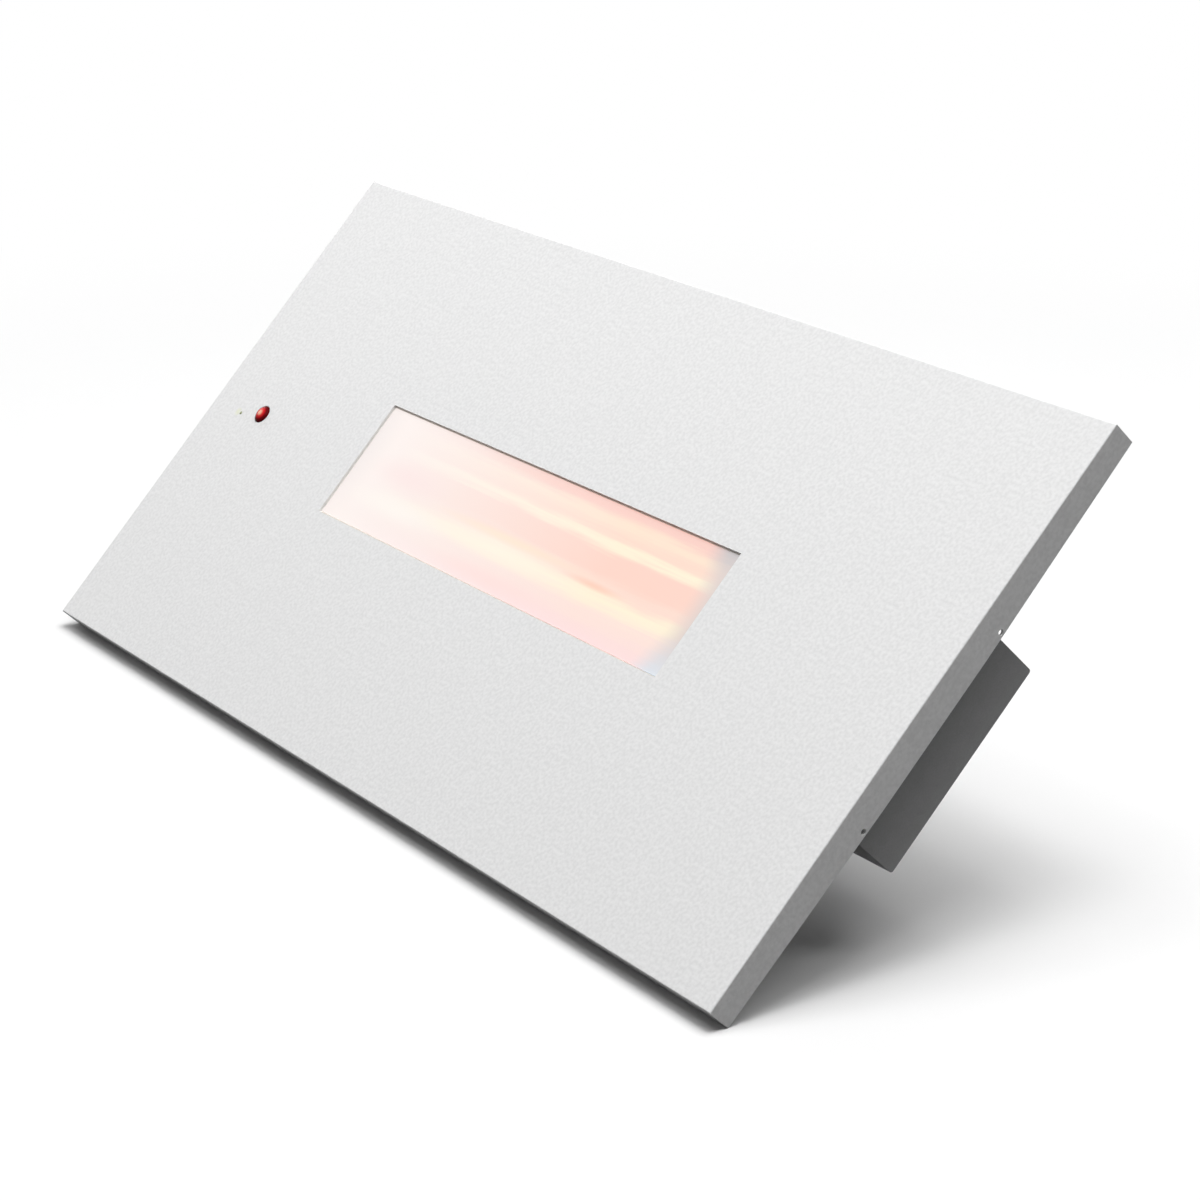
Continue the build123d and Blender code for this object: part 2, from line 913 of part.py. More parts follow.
def mains_wire(start_x, run_depth, end_x):
    """From the terminal block, along the top of the housing, to the control board."""
    run_z = 46.0
    points = [
        (start_x, run_depth, terminal_z + 2),
        (start_x, run_depth, run_z),
        (end_x, run_depth, run_z),
        (end_x, run_depth, mains_plug_z),
        (end_x, plug_floor, mains_plug_z),
    ]
    return wire(points, wire_bend)


def live_wire():
    return mains_wire(mains_x - terminal_pitch, 47.7, control_x + 11)


def neutral_wire():
    return mains_wire(mains_x, 50.3, control_x + 17)


def earth_wire():
    """From the third pole to the earth stud, with a ring crimped on its end."""
    run_depth = 47.5
    barrel_x = earth_x - 6.4
    barrel_front = 52.0
    barrel_radius = 1.8
    ring_radius = 4.0
    ring_front = back_inner_depth - ring_thickness
    points = [
        (mains_x + terminal_pitch, run_depth, terminal_z + 2),
        (mains_x + terminal_pitch, run_depth, earth_z),
        (barrel_x, run_depth, earth_z),
        (barrel_x, barrel_front + past, earth_z),
    ]
    end = rod(earth_x, earth_z, ring_front, back_inner_depth, ring_radius)
    end += block(
        barrel_x, earth_x, ring_front, back_inner_depth, earth_z - barrel_radius, earth_z + barrel_radius
    )
    end += hex_prism(barrel_x, earth_z, barrel_front, back_inner_depth, 2 * barrel_radius)
    end -= rod(earth_x, earth_z, ring_front - past, back_inner_depth + past, m4_radius + fit)
    return wire(points, 2.4) + end


def lamp_lead(sign, end_depth):
    """From the left end of a lamp, through the partition, to the control board."""
    z = sign * lamp_offset
    x_turn = -(lamp_cap_start + lamp_cap_length + 8)
    run_depth = partition_windows()[1][1]
    points = [
        (-tube_half_length, lamp_depth, z),
        (x_turn, lamp_depth, z),
        (x_turn, run_depth, z),
        (lamp_plug_x, run_depth, z),
        (lamp_plug_x, end_depth, z),
    ]
    return wire(points, lead_bend)


def upper_lamp_lead():
    return lamp_lead(1, board_back + 15)


def lower_lamp_lead():
    return lamp_lead(-1, plug_floor)


def lamp_jumper():
    """Joins the right ends of the two lamps."""
    x_turn = lamp_cap_start + lamp_cap_length + 9
    points = [
        (tube_half_length, lamp_depth, lamp_offset),
        (x_turn, lamp_depth, lamp_offset),
        (x_turn, lamp_depth, -lamp_offset),
        (tube_half_length, lamp_depth, -lamp_offset),
    ]
    return wire(points, wire_bend)


def cutout_leads():
    """Two thin leads from the thermal cut-out to its plug on the board."""
    lead_radius = 0.8
    leads = []
    for sign in (-1, 1):
        z = sensor_plug_z + sign * 1.5
        x_end = lamp_plug_x + sign * 3
        points = [
            (-cutout_tab_end, cutout_depth, sensor_plug_z + sign * cutout_tab_z),
            (-partition_x - 3, cutout_depth, z),
            (x_end, cutout_depth, z),
            (x_end, plug_floor, z),
        ]
        leads.append(wire(points, lead_bend, lead_radius))
    return group(leads)


def build_all():
    return {
        "front_plate": front_plate(),
        "housing_studs": housing_studs(),
        "housing_nuts": housing_nuts(),
        "housing_channel": housing_channel(),
        "end_cap_left": end_cap(-1),
        "end_cap_right": end_cap(1),
        "window_glass": window_glass(),
        "glass_gasket": glass_gasket(),
        "glass_clips": glass_clips(),
        "reflector": reflector(),
        "reflector_end_left": reflector_end(-1),
        "reflector_end_right": reflector_end(1),
        "quartz_tube_upper": quartz_tube(1),
        "quartz_tube_lower": quartz_tube(-1),
        "filament_upper": filament(1),
        "filament_lower": filament(-1),
        "lamp_cap_upper_left": lamp_cap(-1, 1),
        "lamp_cap_upper_right": lamp_cap(1, 1),
        "lamp_cap_lower_left": lamp_cap(-1, -1),
        "lamp_cap_lower_right": lamp_cap(1, -1),
        "lamp_bracket_left": lamp_bracket(-1),
        "lamp_bracket_right": lamp_bracket(1),
        "heat_shield": heat_shield(),
        "partition": partition(),
        "partition_edgings": partition_edgings(),
        "control_board": control_board(),
        "board_spacers": board_spacers(),
        "board_screws": board_screws(),
        "power_relay": power_relay(),
        "transformer": transformer(),
        "capacitor": capacitor(),
        "mains_connector": mains_connector(),
        "lamp_connector": lamp_connector(),
        "sensor_connector": sensor_connector(),
        "switch_body": switch_body(),
        "switch_plunger": switch_plunger(),
        "button_cap": button_cap(),
        "button_guide": button_guide(),
        "light_pipe": light_pipe(),
        "light_emitter": light_emitter(),
        "terminal_block": terminal_block(),
        "terminal_screws": terminal_screws(),
        "cord_clamp": cord_clamp(),
        "mains_screws": mains_screws(),
        "cable_grommet": cable_grommet(),
        "thermal_cutout": thermal_cutout(),
        "earth_stud": earth_stud(),
        "earth_nut": earth_nut(),
        "fixing_nuts": fixing_nuts(),
        "live_wire": live_wire(),
        "neutral_wire": neutral_wire(),
        "earth_wire": earth_wire(),
        "upper_lamp_lead": upper_lamp_lead(),
        "lower_lamp_lead": lower_lamp_lead(),
        "lamp_jumper": lamp_jumper(),
        "cutout_leads": cutout_leads(),
    }


os.makedirs("parts", exist_ok=True)
for node_name, node_shape in build_all().items():
    export_step(node_shape, f"parts/{node_name}.step")
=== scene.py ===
# %% [markdown]
# Infrared heater lamp, dressed for a studio picture
#
# The heater is a wide tray of powder-coated steel with a glowing window of milky glass, a red push button
# and a tiny status light. Behind the tray sits a shallow housing of zinc-coated sheet. The construction
# arrives as a finished frame, one object per piece. This lesson gives every piece its finish, and remakes
# the few small round pieces that look coarse from close by: the button, the light pipe, the studs, the
# nuts and the grommet.

import json
import math

import bmesh
import bpy
from mathutils import Matrix, Vector


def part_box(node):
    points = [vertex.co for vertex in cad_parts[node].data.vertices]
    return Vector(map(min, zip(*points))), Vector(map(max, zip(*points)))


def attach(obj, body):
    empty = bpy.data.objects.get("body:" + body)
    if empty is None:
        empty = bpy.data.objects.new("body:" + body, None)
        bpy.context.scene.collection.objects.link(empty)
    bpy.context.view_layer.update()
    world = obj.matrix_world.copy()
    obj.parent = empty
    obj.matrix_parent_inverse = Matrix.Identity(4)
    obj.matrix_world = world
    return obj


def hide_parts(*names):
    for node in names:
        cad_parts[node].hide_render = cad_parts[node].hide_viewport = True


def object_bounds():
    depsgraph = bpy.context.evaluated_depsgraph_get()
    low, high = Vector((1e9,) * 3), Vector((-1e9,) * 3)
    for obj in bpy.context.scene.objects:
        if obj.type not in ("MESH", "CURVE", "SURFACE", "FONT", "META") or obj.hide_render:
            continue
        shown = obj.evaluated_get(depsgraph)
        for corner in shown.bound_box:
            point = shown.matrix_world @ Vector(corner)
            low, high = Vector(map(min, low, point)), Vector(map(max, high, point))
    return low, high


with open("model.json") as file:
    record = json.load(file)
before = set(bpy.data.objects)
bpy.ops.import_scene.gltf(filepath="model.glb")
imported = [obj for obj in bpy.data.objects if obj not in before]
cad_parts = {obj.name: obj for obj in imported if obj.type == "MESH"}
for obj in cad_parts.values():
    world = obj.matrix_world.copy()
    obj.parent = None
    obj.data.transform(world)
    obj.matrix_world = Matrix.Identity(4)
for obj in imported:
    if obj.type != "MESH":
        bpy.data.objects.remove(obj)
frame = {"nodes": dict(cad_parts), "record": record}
cad_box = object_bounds()
print("pieces in the frame:", len(frame["nodes"]))

# %% [markdown]
# Everything below is in metres, because Blender is, but a maker thinks in millimetres. One factor turns a
# real size into a Blender one. The front face of the tray looks along -Y, and depths are counted
# backwards from it. Where a piece sits is read from the frame and not typed in, so it can't drift away
# from the construction.

# %% Units and places
mm = 0.001

plate_low, plate_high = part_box("front_plate")
front_y = plate_low.y
object_centre = (cad_box[0] + cad_box[1]) / 2

print("front face at y =", round(front_y, 4), "m")
print("front plate in mm:", [round(v / mm, 1) for v in plate_high - plate_low])

# %% [markdown]
# A finish is a small network of nodes. Colours are written as the hex codes that a paint chart gives,
# which are sRGB, while the shader wants linear light, so one function converts them. Another adds a node:
# an input that is a socket is linked, and any other value is set. A third starts a material with the
# Principled shader, which covers paint, metal, glass and plastic alike.
#
# The Mix node keeps one set of sockets for each type of data, so its two colours and its result are
# reached by number. The numbers get names here.

# %% Helpers for finishes
finishes = {}
first_colour = 6
second_colour = 7
mixed_colour = 2


def linear(hex_code):
    """Linear RGBA of an sRGB hex code such as #E8E8E8."""
    values = []
    for i in (1, 3, 5):
        s = int(hex_code[i : i + 2], 16) / 255
        values.append(s / 12.92 if s <= 0.04045 else ((s + 0.055) / 1.055) ** 2.4)
    return (*values, 1.0)


def add_node(tree, kind, inputs=None, stops=None, **settings):
    """Adds a node with its settings and inputs; stops are the positions and colours of a colour ramp."""
    node = tree.nodes.new("ShaderNode" + kind)
    for name, value in settings.items():
        setattr(node, name, value)
    for name, value in (inputs or {}).items():
        if isinstance(value, bpy.types.NodeSocket):
            tree.links.new(value, node.inputs[name])
        else:
            node.inputs[name].default_value = value
    if stops:
        first, last = node.color_ramp.elements
        first.position, first.color = stops[0]
        last.position, last.color = stops[-1]
        for position, colour in stops[1:-1]:
            node.color_ramp.elements.new(position).color = colour
    return node


def start_finish(name, **values):
    """A new material named for its finish; returns its node tree, its shader and its object coordinates."""
    material = bpy.data.materials.new(name)
    material.use_nodes = True
    tree = material.node_tree
    tree.nodes.clear()
    named = {key.replace("_", " "): value for key, value in values.items()}
    shader = add_node(tree, "BsdfPrincipled", named)
    add_node(tree, "OutputMaterial", {"Surface": shader.outputs["BSDF"]})
    place = add_node(tree, "TexCoord").outputs["Object"]
    finishes[name] = material
    return tree, shader, place


# %% [markdown]
# Most real surfaces differ a little from point to point, and their colour, gloss and relief differ
# together. So one function lays a noise over a surface and lets it drive all three. Stretching the noise
# along an axis turns grains into the lines that rolling, drawing or brushing leaves behind. A noise
# seldom comes near 0 or 1, so only its middle part is spread over the two colours.

# %% A grain for any finish
noise_low = 0.32
noise_high = 0.68


def grain(tree, shader, place, size, light, dark, rough, relief=0.0, stretch=(1, 1, 1), detail=2.0):
    """Lays a noise over a surface, its grains and relief given in metres; returns the colour ramp."""
    mapped = add_node(tree, "Mapping", {"Vector": place, "Scale": stretch})
    noise = add_node(
        tree,
        "TexNoise",
        {"Vector": mapped.outputs[0], "Scale": 1 / size, "Detail": detail, "Roughness": 0.6},
    ).outputs["Fac"]
    ramp = add_node(
        tree, "ValToRGB", {"Fac": noise}, [(noise_low, linear(dark)), (noise_high, linear(light))]
    )
    tree.links.new(ramp.outputs["Color"], shader.inputs["Base Color"])
    gloss = add_node(
        tree,
        "MapRange",
        {
            "Value": noise,
            "From Min": noise_low,
            "From Max": noise_high,
            "To Min": rough[0],
            "To Max": rough[1],
        },
    )
    tree.links.new(gloss.outputs["Result"], shader.inputs["Roughness"])
    if relief:
        bump = add_node(tree, "Bump", {"Height": noise, "Strength": 1.0, "Distance": relief})
        tree.links.new(bump.outputs["Normal"], shader.inputs["Normal"])
    return ramp


# %% [markdown]
# Powder coat: polyester powder is sprayed on the folded tray and baked. Its fine structure is a skin of
# tiny bumps, which breaks every highlight and leaves an even, satin off-white with a faint sparkle. The
# bumps are drawn 1.7 mm apart and with little detail inside them, because at that size the grain of the
# render is about as wide and as strong as the grain of the photo.

# %% White powder coat
powder_grain = 1.7 * mm
powder_relief = 0.068 * mm

tree, shader, place = start_finish("white_powder_coat", IOR=1.5)
coat_ramp = grain(
    tree, shader, place, powder_grain, "#EFEFEF", "#E6E6E6", (0.62, 0.5), powder_relief, detail=0.6
)
print("powder coat bumps:", round(powder_grain / mm, 1), "mm apart")

# %% [markdown]
# The status light throws a little of its yellow-green on the coat to its left. A lamp inside a rod two
# millimetres thick would need many samples for a few pixels. A soft round patch of tinted coat gives the
# same sight: the tint is mixed in by the distance from the middle of the spot.

# %% Light on the coat beside the status light
spill_offset = -3.0 * mm
spill_core = 0.8 * mm
spill_reach = 3.0 * mm
spill_share = 0.6

low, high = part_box("light_pipe")
spill_centre = (low + high) / 2 + Vector((spill_offset, 0, 0))
spill_centre.y = front_y
away = add_node(tree, "VectorMath", {0: place, 1: spill_centre}, operation="DISTANCE")
spill = add_node(
    tree,
    "MapRange",
    {
        "Value": away.outputs["Value"],
        "From Min": spill_core,
        "From Max": spill_reach,
        "To Min": spill_share,
        "To Max": 0.0,
    },
)
tinted = add_node(
    tree,
    "Mix",
    {
        "Factor": spill.outputs["Result"],
        first_colour: coat_ramp.outputs["Color"],
        second_colour: linear("#E9EBC9"),
    },
    data_type="RGBA",
)
tree.links.new(tinted.outputs[mixed_colour], shader.inputs["Base Color"])
print("light spot on the coat:", round(2 * spill_reach / mm, 1), "mm wide")

# %% [markdown]
# Zinc-coated sheet: the housing is folded from steel that ran through a zinc bath. The zinc freezes in
# flat crystals, the spangle, kept small here and only a shade apart, over the fine lines of the rolling
# mill. A Voronoi pattern with one random grey per cell is the spangle. The zinc has gone dull, so the
# shader treats only a tenth of it as bare metal and the rest as a surface that scatters.

# %% Zinc-coated sheet
rolling_grain = 0.8 * mm
rolling_relief = 0.02 * mm
along_the_sheet = (0.04, 1, 1)
spangle_size = 4 * mm

tree, shader, place = start_finish("zinc_coated_sheet", Metallic=0.1)
rolled = grain(
    tree,
    shader,
    place,
    rolling_grain,
    "#808081",
    "#797979",
    (0.5, 0.62),
    rolling_relief,
    stretch=along_the_sheet,
)
cells = add_node(tree, "TexVoronoi", {"Vector": place, "Scale": 1 / spangle_size, "Randomness": 1.0})
spangle = add_node(
    tree, "ValToRGB", {"Fac": cells.outputs["Color"]}, [(0.1, linear("#F9F9F9")), (0.9, linear("#FFFFFF"))]
)
spangled = add_node(
    tree,
    "Mix",
    {"Factor": 1.0, first_colour: rolled.outputs["Color"], second_colour: spangle.outputs["Color"]},
    data_type="RGBA",
    blend_type="MULTIPLY",
)
print("spangle:", round(spangle_size / mm, 1), "mm")

# %% [markdown]
# Shade is painted on the sheet: it is darker in the corner behind the tray, where the flange of the tray
# keeps light off, and paler at its back edge, where more light reaches. One gradient over the depth, from
# the rim of the tray to the back wall, multiplies the colour of the sheet.

# %% Painted shade on the sheet
tray_rim_y = front_y + 14 * mm
back_wall_y = front_y + 58 * mm
shade_at_rim = 0.42
shade_at_back = 1.42

depth = add_node(tree, "SeparateXYZ", {"Vector": place}).outputs["Y"]
# Painted shade over the depth of the sheet: darker at the tray, paler at the back.
painted_shade_gradient = add_node(
    tree,
    "MapRange",
    {
        "Value": depth,
        "From Min": tray_rim_y,
        "From Max": back_wall_y,
        "To Min": shade_at_rim,
        "To Max": shade_at_back,
    },
)
shaded_sheet_colour = add_node(
    tree,
    "VectorMath",
    {0: spangled.outputs[mixed_colour], "Scale": painted_shade_gradient.outputs["Result"]},
    operation="SCALE",
)
tree.links.new(shaded_sheet_colour.outputs[0], shader.inputs["Base Color"])
print("the sheet grows paler over", round((back_wall_y - tray_rim_y) / mm, 1), "mm of depth")

# %% [markdown]
# Milky glass: a glass-ceramic pane that scatters the light of the two lamps close behind it. Light that
# the pane scatters can't be told from light that it gives off, so the glow is emission, and no ray has to
# find its way through the glass. The pane also throws back some light of the studio. That part is taken
# off each colour of the glow, so that both together show the colour that the code names.

# %% Milky glass
pane_low, pane_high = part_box("window_glass")
pane_albedo = 0.42
pane_shows = 0.92

pane_tree, pane_shader, pane_place = start_finish(
    "milky_glass",
    IOR=1.5,
    Roughness=0.12,
    Base_Color=(pane_albedo, pane_albedo, pane_albedo, 1),
    Emission_Strength=1.0,
)
pane_axes = add_node(pane_tree, "SeparateXYZ", {"Vector": pane_place}).outputs


def glow(hex_code):
    """The emission that makes the lit pane show a colour."""
    return tuple(max(0.0, c - pane_albedo * pane_shows) for c in linear(hex_code)[:3]) + (1,)


print("pane in mm:", [round(v / mm, 1) for v in pane_high - pane_low])

# %% [markdown]
# The glow runs in bands along the pane, so its colour depends on the height (Z). Rolled glass is never
# quite even, and its bands are never quite straight. A slow noise bends them by a millimetre or two, and
# a fine noise, stretched along the pane, draws the streaks that its rollers leave. Both are added to the
# height before it is turned into a colour.

# %% Height across the pane, a little uneven
window_half_height = 34 * mm
bend_size = 45 * mm
bend_by = 2 * mm
streak_size = 2.5 * mm
streak_by = 1.4 * mm
along_the_pane = (0.05, 1, 1)

waver = add_node(pane_tree, "TexNoise", {"Vector": pane_place, "Scale": 1 / bend_size, "Detail": 1.0})
bent = add_node(
    pane_tree,
    "MapRange",
    {
        "Value": waver.outputs["Fac"],
        "From Min": 0.0,
        "From Max": 1.0,
        "To Min": -bend_by,
        "To Max": bend_by,
    },
)
drawn_out = add_node(pane_tree, "Mapping", {"Vector": pane_place, "Scale": along_the_pane})
streaks = add_node(
    pane_tree, "TexNoise", {"Vector": drawn_out.outputs[0], "Scale": 1 / streak_size, "Detail": 2.0}
)
spread = add_node(
    pane_tree,
    "MapRange",
    {
        "Value": streaks.outputs["Fac"],
        "From Min": 0.3,
        "From Max": 0.7,
        "To Min": -streak_by,
        "To Max": streak_by,
    },
)
height = add_node(pane_tree, "Math", {0: pane_axes["Z"], 1: bent.outputs["Result"]}, operation="ADD")
height = add_node(pane_tree, "Math", {0: height.outputs[0], 1: spread.outputs["Result"]}, operation="ADD")
across = add_node(
    pane_tree,
    "MapRange",
    {"Value": height.outputs[0], "From Min": -window_half_height, "From Max": window_half_height},
).outputs["Result"]
print("the bands stray by at most", round((bend_by + streak_by) / mm, 1), "mm")

# %% [markdown]
# Seen from the room, the pane shows two long yellow-white bands, one in front of each lamp, a fainter
# third one where the upper trough of the reflector mirrors its lamp, and salmon pink between them. The
# heights of the stops are in millimetres from the middle of the pane. Towards the left the bands fade into
# a painted reflection of a softbox in the glass, a flat white mixed into the glow.

# %% Bands of the lamps
lamp_light = "#FEF1D8"
reflected_light = "#FDE5D0"
salmon = "#FCD6C8"
pale_pink = "#FBDEDD"
softbox_reflection_white = "#F9EFEB"
reflection_full_x = -125 * mm
reflection_none_x = 75 * mm

band_stops = [
    (-34, pale_pink),
    (-22, "#FCE3DA"),
    (-13, lamp_light),
    (-6, "#FCDED0"),
    (1, salmon),
    (9, salmon),
    (14.5, lamp_light),
    (19, "#FCDDCC"),
    (25, reflected_light),
    (32, "#F9D0C6"),
]
bands = add_node(
    pane_tree,
    "ValToRGB",
    {"Fac": across},
    [((z * mm / window_half_height + 1) / 2, glow(colour)) for z, colour in band_stops],
)
bands.color_ramp.interpolation = "EASE"
# Painted reflection of a softbox: towards the left the glow turns flat white.
painted_reflection_share = add_node(
    pane_tree,
    "MapRange",
    {
        "Value": pane_axes["X"],
        "From Min": reflection_full_x,
        "From Max": reflection_none_x,
        "To Min": 1.0,
        "To Max": 0.0,
    },
)
glow_and_reflection = add_node(
    pane_tree,
    "Mix",
    {
        "Factor": painted_reflection_share.outputs["Result"],
        first_colour: bands.outputs["Color"],
        second_colour: glow(softbox_reflection_white),
    },
    data_type="RGBA",
)
print("stops across the pane:", len(band_stops))

# %% [markdown]
# The glow isn't even along the pane: the photo shows soft lighter and darker places in the bands. A few
# elliptical patches stand for them. Each has a middle and a reach along and across the pane, in
# millimetres, a colour, and the share of that colour at its middle. A Mapping node turns the ellipse into
# a circle of radius one, so the distance from its middle tells how much of the colour to mix in.

# %% Soft patches in the glow
patches = (
    (-10, -12, 95, 9, "#FEF5E4", 0.7),
    (-95, -16, 60, 10, "#FBF5EE", 0.8),
    (5, -5, 85, 4, "#FEE9CF", 0.6),
    (5, -28, 75, 8, "#FDDEDA", 0.6),
    (75, -8, 30, 3, "#FDCBB4", 0.7),
    (30, 31, 110, 5, "#FBD2C8", 0.6),
    (-100, 2, 45, 12, "#F9E5E3", 0.7),
    (-149, 10, 22, 60, "#EFE8E5", 0.7),
)

uneven = glow_and_reflection.outputs[mixed_colour]
for x, z, reach_x, reach_z, colour, share in patches:
    centred = add_node(
        pane_tree,
        "Mapping",
        {
            "Vector": pane_place,
            "Location": (-x / reach_x, 0, -z / reach_z),
            "Scale": (1 / reach_x / mm, 0, 1 / reach_z / mm),
        },
    )
    off = add_node(pane_tree, "VectorMath", {0: centred.outputs[0]}, operation="LENGTH")
    amount = add_node(
        pane_tree,
        "MapRange",
        {"Value": off.outputs["Value"], "To Min": share, "To Max": 0.0},
        interpolation_type="SMOOTHSTEP",
    )
    patched = add_node(
        pane_tree,
        "Mix",
        {"Factor": amount.outputs["Result"], first_colour: uneven, second_colour: glow(colour)},
        data_type="RGBA",
    )
    uneven = patched.outputs[mixed_colour]
print("soft patches:", len(patches))

# %% [markdown]
# In the last centimetres on the right the pane fades into grey: cool at the bottom, warm in the middle,
# dim at the top. The glow ends in a round shape, so the fade begins a centimetre earlier in the two
# corners than in the middle. The square of the height above or below the middle gives that curve.

# %% The grey end of the pane
warm_grey = "#DFD2CD"
fade_start = 134 * mm
fade_end = 153 * mm
corner_pull = 40 * mm

far_end = add_node(
    pane_tree,
    "ValToRGB",
    {"Fac": across},
    [(0.0, glow("#DCE1E8")), (0.3, glow(warm_grey)), (0.85, glow(warm_grey)), (1.0, glow("#C8C5C7"))],
)
off_middle = add_node(pane_tree, "Math", {0: across, 1: 0.5}, operation="SUBTRACT").outputs[0]
squared = add_node(pane_tree, "Math", {0: off_middle, 1: off_middle}, operation="MULTIPLY")
pulled = add_node(
    pane_tree, "Math", {0: squared.outputs[0], 1: corner_pull, 2: pane_axes["X"]}, operation="MULTIPLY_ADD"
)
fade = add_node(
    pane_tree,
    "MapRange",
    {"Value": pulled.outputs[0], "From Min": fade_start, "From Max": fade_end},
    interpolation_type="SMOOTHSTEP",
)
shown = add_node(
    pane_tree,
    "Mix",
    {"Factor": fade.outputs["Result"], first_colour: uneven, second_colour: far_end.outputs["Color"]},
    data_type="RGBA",
)
pane_tree.links.new(shown.outputs[mixed_colour], pane_shader.inputs["Emission Color"])
print("fade:", round((fade_end - fade_start) / mm, 1), "mm long")

# %% [markdown]
# The other metals: bright zinc plating on the small fasteners, brass in the terminals, blued spring steel
# in the clips, anodised aluminium with long rolling lines in the reflector, and a duller aluminised sheet
# behind it. A metal keeps the default index of refraction, and its base colour is its reflectance.

# %% The other metals
tree, shader, place = start_finish("plated_steel", Metallic=1.0)
grain(tree, shader, place, 0.5 * mm, "#C6C8C6", "#B4B6B6", (0.24, 0.36))

tree, shader, place = start_finish("brass", Metallic=1.0)
grain(tree, shader, place, 0.6 * mm, "#D6B168", "#C29A55", (0.22, 0.34))

tree, shader, place = start_finish("spring_steel", Metallic=1.0)
grain(tree, shader, place, 1.5 * mm, "#6E6A68", "#565250", (0.3, 0.42), stretch=(1, 1, 0.2))

tree, shader, place = start_finish("bright_aluminium", Metallic=1.0)
grain(tree, shader, place, 0.4 * mm, "#E6E8E9", "#DADCDD", (0.1, 0.2), 0.005 * mm, stretch=(0.02, 1, 1))

tree, shader, place = start_finish("aluminised_sheet", Metallic=0.9)
grain(tree, shader, place, 2.0 * mm, "#B9BABA", "#A6A8A8", (0.42, 0.58), stretch=(0.2, 1, 1))
print("finishes so far:", len(finishes))

# %% [markdown]
# Quartz, carbon and ceramic: the lamp tubes are clear quartz with faint drawing lines along them. In each
# lies a strip of woven carbon, which glows orange when it is on. The caps and the terminal block are
# steatite, a dense off-white ceramic with a dull glaze. The pane hides the lamps, so Cycles is told not
# to aim samples at the glow of the strips.

# %% Quartz, carbon and ceramic
tree, shader, place = start_finish("quartz", IOR=1.46, Transmission_Weight=1.0)
grain(tree, shader, place, 0.8 * mm, "#FFFFFF", "#F4F7F8", (0.02, 0.06), stretch=(0.02, 1, 1))

tree, shader, place = start_finish("carbon", Emission_Color=linear("#FF9A3C"), Emission_Strength=3.0)
grain(tree, shader, place, 0.7 * mm, "#3A3735", "#1D1B1A", (0.6, 0.75), 0.05 * mm)
finishes["carbon"].cycles.emission_sampling = "NONE"

tree, shader, place = start_finish("ceramic", IOR=1.6)
grain(tree, shader, place, 2.5 * mm, "#ECE7DC", "#DFD9CC", (0.35, 0.5), 0.02 * mm)
print("finishes so far:", len(finishes))

# %% [markdown]
# Board, gasket and rubber: the circuit board is glass-fibre laminate, green from its solder mask, with
# the weave of the glass just showing. The gasket is pressed white fibre, matt and a little mottled. Its
# edge is the floor of the narrow gap round the pane, which would look black without it. Rubber is nearly
# black, matt, and picks up a grey bloom.

# %% Board, gasket and rubber
tree, shader, place = start_finish("board_laminate", IOR=1.5)
grain(tree, shader, place, 0.6 * mm, "#2F6B45", "#265A3A", (0.3, 0.4), 0.01 * mm)

tree, shader, place = start_finish("fibre_gasket")
grain(tree, shader, place, 1.2 * mm, "#F0EDE6", "#DAD6CC", (0.85, 0.95), 0.1 * mm, detail=4.0)

tree, shader, place = start_finish("black_rubber", IOR=1.52)
grain(tree, shader, place, 1.0 * mm, "#2B2B2C", "#202021", (0.6, 0.78), 0.02 * mm)
print("finishes so far:", len(finishes))

# %% [markdown]
# Moulded plastics: relay, transformer, connectors and switch are glass-filled nylon or polyester with a
# fine spark texture from the mould, and the can of the capacitor wears a smoother sleeve.

# %% Moulded plastics
for name, light, dark, rough in (
    ("dark_moulding", "#34363A", "#2A2C30", (0.4, 0.5)),
    ("pale_moulding", "#E5E2D8", "#DAD7CC", (0.4, 0.5)),
    ("can_sleeve", "#2A3A5C", "#233150", (0.25, 0.35)),
):
    tree, shader, place = start_finish(name, IOR=1.5)
    grain(tree, shader, place, 0.6 * mm, light, dark, rough, 0.01 * mm)
print("finishes so far:", len(finishes))

# %% [markdown]
# Red button plastic: polished plastic in a deep signal red. In the photo the dome has a pale orange
# highlight in its middle and a rim that is almost black. The surroundings that the real dome mirrors
# aren't known, so both are painted, as rings round the axis of the button. The shader's own mirror is
# turned nearly off, or its highlight would be added to the painted one.

# %% Red button plastic
button_radius = 5.25

tree, shader, place = start_finish("red_moulding", IOR=1.49, Specular_IOR_Level=0.03)
grain(tree, shader, place, 3.0 * mm, "#E01B22", "#D8161E", (0.22, 0.28))
low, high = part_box("button_cap")
button_axis = Vector(((low.x + high.x) / 2, 0, (low.z + high.z) / 2))
flat = add_node(tree, "Mapping", {"Vector": place, "Scale": (1, 0, 1)})
off_axis = add_node(tree, "VectorMath", {0: flat.outputs[0], 1: button_axis}, operation="DISTANCE")
outwards = add_node(tree, "MapRange", {"Value": off_axis.outputs["Value"], "From Max": button_radius * mm})
reds = add_node(
    tree,
    "ValToRGB",
    {"Fac": outwards.outputs["Result"]},
    [
        (0.14, linear("#FFC2A2")),
        (0.4, linear("#E03A38")),
        (0.6, linear("#C01620")),
        (0.7, linear("#820A12")),
        (0.85, linear("#5A060C")),
    ],
)
tree.links.new(reds.outputs["Color"], shader.inputs["Base Color"])
print("reds from the axis out to", button_radius, "mm")

# %% [markdown]
# Light pipe plastic: a clear acrylic rod that carries a yellow-green light from the board to the front.
# Only its tip shows. In the photo the tip is a small olive dot, and its light shows on the coat beside
# it, where it was painted above. So the rod gets an olive base colour and a weak emission.

